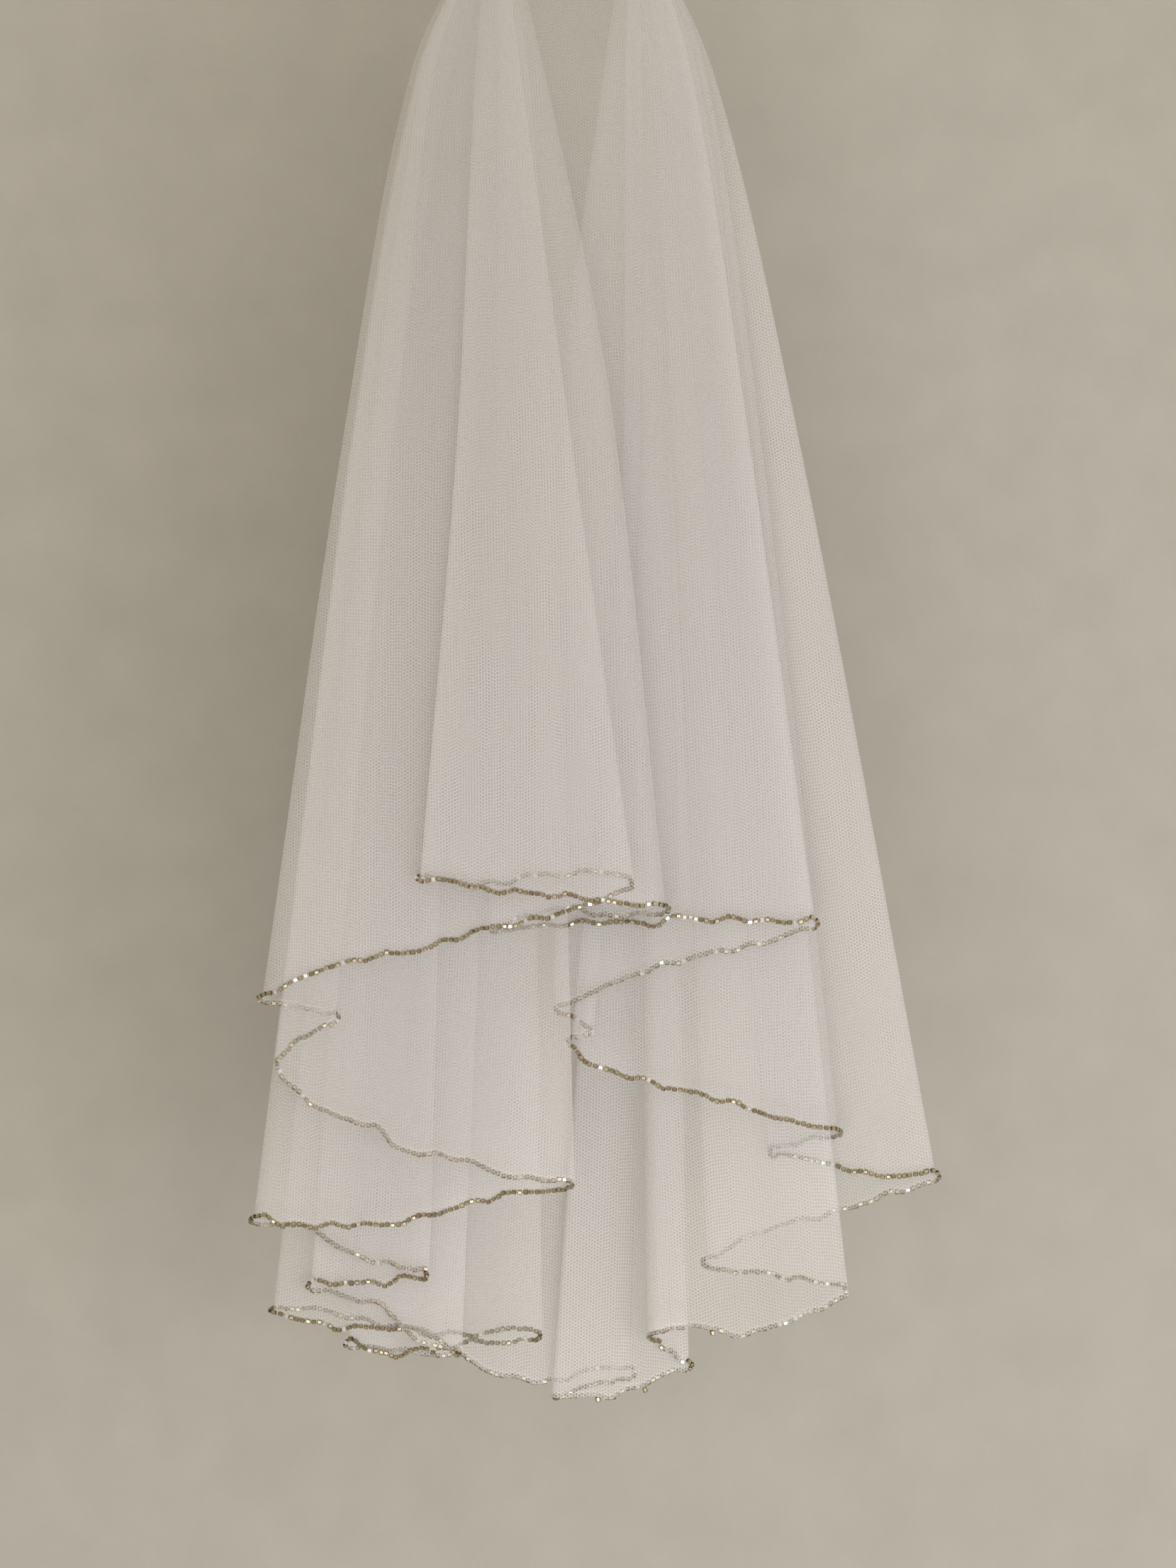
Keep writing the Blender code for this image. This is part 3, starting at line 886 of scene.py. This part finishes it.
@dataclass
class BeadEdging:
    """One row of small cut beads sewn along the net's whole edge, on its right side.

    Clear beads are strewn among the champagne ones. The run of clear beads is a painted highlight: a patch
    low on the right where far more beads are drawn clear and pale, where the window light catches the chain.
    It holds x, z and half its length. Loose holds the x and z of the places where a bead hangs from the
    chain.
    """

    hem: np.ndarray
    side: np.ndarray
    pitch: float = 2.8 * MM
    length: float = 2.3 * MM
    width: float = 2.45 * MM
    bore: float = 1.0 * MM
    ease: float = 0.3 * MM
    sides: int = 6
    stand_off: float = 1.45 * MM
    lift: float = 0.7 * MM
    clear_share: float = 0.07
    # A painted highlight: a patch of pale clear beads low on the right, where the light catches the chain
    painted_highlight_run: tuple[float, float, float] = (0.119, -0.691, 0.013)
    painted_highlight_run_share: float = 0.75
    loose: tuple[tuple[float, float], ...] = ((0.0184, -0.734), (0.0422, -0.730), (0.073, -0.702))
    loose_lean: float = 0.25
    tilt: float = 0.09
    unevenness: float = 0.035
    shift: float = 0.12 * MM
    seed: int = 41

    def path(self) -> tuple[np.ndarray, np.ndarray, np.ndarray]:
        """Places of the beads along the edge.

        Returns:
            The middle of each bead, the way along the chain there, and the way out of the net.
        """
        closed = np.vstack([self.hem, self.hem[:1]])
        steps = np.linalg.norm(np.diff(closed, axis=0), axis=1)
        along = np.concatenate([[0.0], np.cumsum(steps)])
        count = round(along[-1] / self.pitch)
        at = np.arange(count) * along[-1] / count
        middles = np.stack([np.interp(at, along, closed[:, c]) for c in range(3)], axis=1)
        side = np.interp(at, along, np.append(self.side, self.side[0]))
        ways = np.roll(middles, -1, axis=0) - np.roll(middles, 1, axis=0)
        ways /= np.linalg.norm(ways, axis=1)[:, None]
        out = np.stack([-ways[:, 1], ways[:, 0], np.zeros(count)], axis=1)
        out /= np.linalg.norm(out, axis=1)[:, None]
        middles = middles + out * (self.stand_off * side)[:, None]
        middles[:, 2] += self.lift * np.abs(side) - (1 - np.abs(side)) * self.width / 2
        return middles, ways, out

    def loose_beads(
        self, middles: np.ndarray, out: np.ndarray
    ) -> tuple[np.ndarray, np.ndarray, np.ndarray]:
        """Single beads that hang from the chain where a stitch has slackened.

        Args:
            middles: The middles of the chain's beads.
            out: The way out of the net at each of them.

        Returns:
            The middle, the axis and the way out of the net of each loose bead.
        """
        near = [int(np.argmin(np.hypot(middles[:, 0] - x, middles[:, 2] - z))) for x, z in self.loose]
        down = np.tile([self.loose_lean, 0.0, -1.0], (len(near), 1)) / math.hypot(self.loose_lean, 1.0)
        return middles[near] + down * (self.width + self.length) / 2, down, out[near]

    def bead(self) -> tuple[np.ndarray, list[tuple[int, ...]]]:
        """One bead along X, with its edges eased by the polish.

        Returns:
            Its points and faces.
        """
        half, radius, ease = self.length / 2, self.width / 2, self.ease
        rings = (
            (-half, self.bore / 2), (-half, radius - ease), (-half + ease, radius),
            (half - ease, radius), (half, radius - ease), (half, self.bore / 2),
        )
        angles = [2 * math.pi * i / self.sides for i in range(self.sides)]
        points = [(x, r * math.cos(a), r * math.sin(a)) for x, r in rings for a in angles]
        return np.array(points), tube_faces(len(rings), self.sides, True)

    def build(self) -> bpy.types.Object:
        """Builds the beads.

        Returns:
            All beads as one object, most of them champagne and a few clear.
        """
        rng = np.random.default_rng(self.seed)
        chain = self.path()
        loose = self.loose_beads(chain[0], chain[2])
        middles, ways, out = (np.concatenate(both) for both in zip(chain, loose))
        shape, faces = self.bead()
        points, all_faces, kinds, numbers = [], [], [], []
        # Painted highlight: near the lit spot low on the right, most beads are drawn clear and pale
        x, z, reach = self.painted_highlight_run
        closeness = np.exp(-((middles[:, 0] - x) ** 2 + (middles[:, 2] - z) ** 2) / reach ** 2)
        clear = self.clear_share + self.painted_highlight_run_share * closeness
        for i, (middle, way, side) in enumerate(zip(middles, ways, out)):
            up = np.cross(way, side)
            roll = rng.uniform(0, 2 * math.pi / self.sides)
            tilt = rng.normal(0, self.tilt, 2)
            size = rng.normal(1.0, self.unevenness)
            axis = way + side * tilt[0] + up * tilt[1]
            axis /= np.linalg.norm(axis)
            first = side - axis * side.dot(axis)
            first /= np.linalg.norm(first)
            second = np.cross(axis, first)
            turned = np.stack(
                [axis, math.cos(roll) * first + math.sin(roll) * second,
                 math.cos(roll) * second - math.sin(roll) * first]
            )
            shift = rng.normal(0, self.shift, 3)
            points.append(shape * size @ turned + middle + shift)
            base = i * len(shape)
            all_faces += [tuple(base + p for p in face) for face in faces]
            kinds += [int(rng.random() < clear[i])] * len(faces)
            numbers += [i + 0.5] * len(faces)
        mesh = new_mesh("bead_edging", np.concatenate(points), all_faces, smooth=False)
        mesh.polygons.foreach_set("material_index", kinds)
        layer = mesh.uv_layers.new(name="chain")
        number = np.repeat(np.array(numbers), 4)
        # How dark each ring of faces is painted, partly the lining's edge and partly painted shade between
        # the beads: end, eased edge, side, eased edge, end, bore
        lining_edge_and_shade = [0.9, 0.65, 0.0, 0.65, 0.9, 1.0]
        ends_and_shade = np.tile(np.repeat(lining_edge_and_shade, 4 * self.sides), len(middles))
        layer.data.foreach_set("uv", np.stack([number, ends_and_shade], axis=1).astype(np.float32).ravel())
        champagne = SilverLinedGlass()
        crystal = SilverLinedGlass(
            name="clear_silver_lined_glass", tint="F6F5F0", deep="D6D2C6", end="8E8470", roughness=0.1
        )
        return new_piece("bead_edging", mesh, [champagne.material(), crystal.material()])


@dataclass
class EdgeThread:
    """The sewing thread that runs through the beads."""

    edging: BeadEdging
    radius: float = 0.22 * MM
    sides: int = 4

    def build(self) -> bpy.types.Object:
        """Builds the thread.

        Returns:
            A thin closed tube through all beads.
        """
        middles, ways, out = self.edging.path()
        up = np.cross(ways, out)
        lines = []
        for i in range(self.sides):
            angle = 2 * math.pi * i / self.sides
            lines.append(middles + self.radius * (math.cos(angle) * out + math.sin(angle) * up))
        points = np.stack(lines, axis=1).reshape(-1, 3)
        mesh = new_mesh("edge_thread", points, tube_faces(len(middles), self.sides, True))
        return new_piece("edge_thread", mesh, [SewingThread().material()])


@dataclass
class HairComb:
    """Moulded comb with a rounded spine and tapered round-ended teeth."""

    width: float = 54 * MM
    teeth: int = 13
    length: float = 40 * MM
    spine: float = 8 * MM
    thickness: float = 2.2 * MM
    y: float = 4.2 * MM
    squareness: float = 0.7
    ends: tuple[float, ...] = (0.5, 0.8, 0.94, 0.975, 0.992, 1.0)
    rounding: tuple[float, ...] = (1.0, 1.0, 1.0, 0.85, 0.6, 0.3)
    tooth_share: float = 0.46
    taper_across: float = 0.45
    taper_deep: tuple[float, float] = (0.92, 0.4)
    tip: float = 0.07
    blunt: float = 0.2
    fillet: tuple[float, float] = (0.7, 0.05)
    root: float = 0.8
    steps: int = 14
    sides: int = 12

    def section(self, across: float, deep: float) -> list[tuple[float, float]]:
        """A rounded section.

        Args:
            across: Half of its width.
            deep: Half of its thickness, front to back.

        Returns:
            Its points, each with its place across and its depth.
        """
        angles = [2 * math.pi * i / self.sides for i in range(self.sides)]
        return [
            (across * squared(math.cos(a), self.squareness), deep * squared(math.sin(a), self.squareness))
            for a in angles
        ]

    def spine_points(self) -> list[tuple[float, float, float]]:
        """Points of the spine, ring by ring along X. Its two ends are rounded alike."""
        points = []
        places = [*(-e for e in reversed(self.ends)), 0.0, *self.ends]
        sizes = [*reversed(self.rounding), 1.0, *self.rounding]
        for place, size in zip(places, sizes):
            for a, d in self.section(self.spine / 2 * size, self.thickness / 2 * size):
                points.append((self.width / 2 * place, self.y + d, a - self.spine / 2))
        return points

    def tooth_points(self, x: float) -> list[tuple[float, float, float]]:
        """Points of a tooth, ring by ring from its root in the spine down to its tip.

        Args:
            x: The tooth's place along the comb.

        Returns:
            The points.
        """
        points = []
        width = self.tooth_share * self.width / self.teeth
        top = self.root * self.spine
        for step in range(self.steps + 1):
            share = step / self.steps
            in_tip = max((share - 1) / self.tip + 1, 0.0)
            tip = math.sqrt(max(1 - in_tip ** 2, self.blunt ** 2))
            fillet = 1 + self.fillet[0] * math.exp(-share / self.fillet[1])
            across = width / 2 * (1 - self.taper_across * share) * tip * fillet
            deep = self.thickness / 2 * (self.taper_deep[0] - self.taper_deep[1] * share) * tip
            z = -top - (self.length - top) * share
            points += [(x + a, self.y + d, z) for a, d in self.section(across, deep)]
        return points

    def build(self) -> bpy.types.Object:
        """Builds the comb.

        Returns:
            Spine and teeth as one object.
        """
        pitch = self.width / self.teeth
        bars = [self.spine_points()]
        bars += [self.tooth_points((i + 0.5) * pitch - self.width / 2) for i in range(self.teeth)]
        points, faces = [], []
        for bar in bars:
            base = len(points)
            points += bar
            closed = tube_faces(len(bar) // self.sides, self.sides, False)
            faces += [tuple(base + p for p in face) for face in closed]
        mesh = new_mesh("hair_comb", np.array(points), faces)
        return new_piece("hair_comb", mesh, [CelluloseAcetate().material()])


@dataclass
class RibbonBinding:
    """Satin ribbon wrapped in overlapping turns round the gathers."""

    width: float = 84 * MM
    across: float = 28 * MM
    height: float = 7 * MM
    y: float = 0.8 * MM
    bottom: float = 0.3 * MM
    turn: float = 10.5 * MM
    slant: float = 3.0 * MM
    overlap: float = 0.4 * MM
    crease: float = 0.12 * MM
    squareness: tuple[float, float] = (0.42, 0.62)
    end_across: float = 0.25
    end_height: float = 0.15
    columns: int = 160
    sides: int = 64

    def build(self) -> bpy.types.Object:
        """Builds the wrapped bar.

        Returns:
            The bar with its slanted overlaps and soft ends.
        """
        points = []
        for i in range(self.columns + 1):
            share = 2 * i / self.columns - 1
            x = share * self.width / 2
            # Nearly 1 all along the bar, and 0 at its two ends
            full = max(1 - abs(share) ** 14, 0.0) ** 0.3
            for j in range(self.sides):
                angle = 2 * math.pi * j / self.sides
                # Each turn of the ribbon rises from 0 to 1 and then laps over the next one
                lap = ((x + self.slant * math.cos(angle)) / self.turn) % 1.0
                raised = self.overlap * (lap ** 2 - 1.7) - self.crease * math.sin(5 * angle + 9 * lap) * lap
                a = (self.across / 2 + raised) * (self.end_across + (1 - self.end_across) * full)
                h = (self.height / 2 + raised) * (self.end_height + (1 - self.end_height) * full)
                y = self.y + a * squared(math.cos(angle), self.squareness[0])
                z = self.bottom + self.height / 2 + h * squared(math.sin(angle), self.squareness[1])
                points.append((x, y, z))
        faces = tube_faces(self.columns + 1, self.sides, False)
        mesh = new_mesh("ribbon_binding", np.array(points), faces)
        return new_piece("ribbon_binding", mesh, [SatinRibbon().material()])


@dataclass(frozen=True)
class WallPaint:
    """Warm grey emulsion rolled onto plaster: matt, with a faint orange-peel from the roller."""

    colour: str = "D0CCC2"
    patch: str = "C5C1B7"
    peel_depth: float = 0.8 * MM
    peel_strength: float = 0.4
    roughness: float = 0.85

    def material(self) -> bpy.types.Material:
        """Makes the wall's paint, which shows only from the room's side.

        Returns:
            A matt material that is clear from behind, so the back of the veil can be looked at too.
        """
        material, tree = new_material("rolled_emulsion")
        cloud = object_texture(tree, "TexNoise", {}, Scale=30.0, Detail=2.0)
        colour = blend(tree, cloud.outputs["Fac"], linear(self.colour), linear(self.patch))
        # The roller leaves grains about 4 mm across
        peel = object_texture(tree, "TexNoise", {}, Scale=240.0, Detail=0.0)
        bump = add_node(
            tree,
            "Bump",
            {},
            {"Strength": self.peel_strength, "Distance": self.peel_depth, "Height": peel.outputs["Fac"]},
        )
        paint = add_node(
            tree, "BsdfDiffuse", {}, {"Color": colour, "Roughness": self.roughness, "Normal": bump}
        )
        clear = add_node(tree, "BsdfTransparent", {}, {"Color": CLEAR})
        side = add_node(tree, "NewGeometry")
        surface = add_node(tree, "MixShader", {}, {0: side.outputs["Backfacing"], 1: paint, 2: clear})
        finish_surface(tree, surface)
        return material


@dataclass(frozen=True)
class SoftLight:
    """A soft square light: where it stands, the point it faces, its size, its watts and its sRGB colour."""

    name: str
    place: tuple[float, float, float]
    aim: tuple[float, float, float]
    size: float
    power: float
    colour: str

    def build(self) -> None:
        """Adds the light to the scene."""
        lamp = bpy.data.lights.new(self.name, "AREA")
        lamp.shape = "SQUARE"
        lamp.size = self.size
        lamp.energy = self.power
        lamp.color = linear(self.colour)[:3]
        holder = bpy.data.objects.new(self.name, lamp)
        holder.location = self.place
        way = Vector(self.aim) - Vector(self.place)
        holder.rotation_euler = way.to_track_quat("-Z", "Y").to_euler()
        bpy.context.scene.collection.objects.link(holder)


LIGHTS: tuple[SoftLight, ...] = (
    SoftLight("window", (1.7, -2.2, -0.6), (0.0, 0.1, -0.5), 2.2, 12.5, "DCE6FF"),
    SoftLight("room", (0.3, -3.4, -0.1), (0.0, 0.1, -0.5), 2.4, 12.5, "FFF1DA"),
    SoftLight("bounce", (0.3, -1.3, -1.25), (0.15, 0.24, -1.0), 1.2, 25.0, "EFF3FA"),
)


@dataclass
class Studio:
    """The wall behind the veil, a pale floor, the light and the camera."""

    wall_y: float = 0.32
    wall_height: float = 3.2
    floor_z: float = -1.3
    floor_front: float = 4.5
    floor_back: float = 3.0
    reach: float = 2.6
    sky: str = "FFF3E0"
    sky_strength: float = 0.57
    camera_distance: float = 4.5
    view_height: float = 0.7742
    target: tuple[float, float, float] = (0.0123, 0.0, -0.4291)

    def plane(
        self, name: str, corners: list[tuple[float, float, float]], material: bpy.types.Material
    ) -> None:
        """Adds a flat backdrop.

        Args:
            name: What it is called.
            corners: Its corners, turning left round the side that shows.
            material: What it is painted with.
        """
        mesh = new_mesh(name, np.array(corners), [(0, 1, 2, 3)], smooth=False)
        new_piece(name, mesh, [material])

    def backdrop(self) -> None:
        """Builds the wall and the floor."""
        r, y, z = self.reach, self.wall_y, self.floor_z
        top, front, back = z + self.wall_height, y - self.floor_front, y + self.floor_back
        self.plane("wall", [(-r, y, z), (r, y, z), (r, y, top), (-r, y, top)], WallPaint().material())
        self.plane(
            "floor",
            [(-r, front, z), (r, front, z), (r, back, z), (-r, back, z)],
            WallPaint(colour="DAD6CC", patch="D4D0C6").material(),
        )

    def light(self) -> None:
        """Lights the room."""
        world = bpy.data.worlds.new("soft_room")
        world.use_nodes = True
        sky = world.node_tree.nodes["Background"]
        sky.inputs["Color"].default_value = linear(self.sky)
        sky.inputs["Strength"].default_value = self.sky_strength
        bpy.context.scene.world = world
        for light in LIGHTS:
            light.build()

    def camera(self) -> None:
        """Sets up the camera level with the middle of the photo's frame."""
        camera = bpy.data.cameras.new("camera")
        camera.sensor_width = 36.0
        camera.lens = camera.sensor_width * self.camera_distance / self.view_height
        camera.clip_end = 60.0
        holder = bpy.data.objects.new("camera", camera)
        holder.location = (self.target[0], -self.camera_distance, self.target[2])
        holder.rotation_euler = (math.pi / 2, 0.0, 0.0)
        bpy.context.scene.collection.objects.link(holder)
        bpy.context.scene.camera = holder

    def build(self) -> None:
        """Builds the studio."""
        self.backdrop()
        self.light()
        self.camera()
        scene = bpy.context.scene
        scene.view_settings.view_transform = "Standard"
        # Light passes many layers of net, one after another, before it reaches the wall
        scene.cycles.transparent_max_bounces = 18
        scene.cycles.diffuse_bounces = 1
        scene.cycles.transmission_bounces = 1
        scene.cycles.max_bounces = 2


def main() -> None:
    """Builds the studio and the veil, hangs each piece from the root and hides the model's parts that they
    stand for.
    """
    logging.basicConfig(level=logging.INFO, format="%(name)s: %(message)s")
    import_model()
    Studio().build()
    net = Net(Drape())
    net_piece = net.build()
    edging = BeadEdging(net.hem_line(), net.bead_side())
    beads = edging.build()
    thread = EdgeThread(edging).build()
    comb = HairComb().build()
    binding = RibbonBinding().build()
    for piece, slot in (
        (net_piece, Slot.TULLE),
        (beads, Slot.GLASS),
        (thread, Slot.TULLE),
        (comb, Slot.COMB),
        (binding, Slot.RIBBON),
    ):
        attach(piece, "root")
        LOG.info("%s: %d faces", piece.name, len(piece.data.polygons))
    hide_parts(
        Part.NET_FRONT_LEFT.value,
        Part.NET_SIDE_LEFT.value,
        Part.NET_BACK.value,
        Part.NET_SIDE_RIGHT.value,
        Part.NET_FRONT_RIGHT.value,
    )
    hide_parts(Part.COMB.value)
    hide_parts(Part.BINDING.value)


if __name__ == "__main__":
    main()
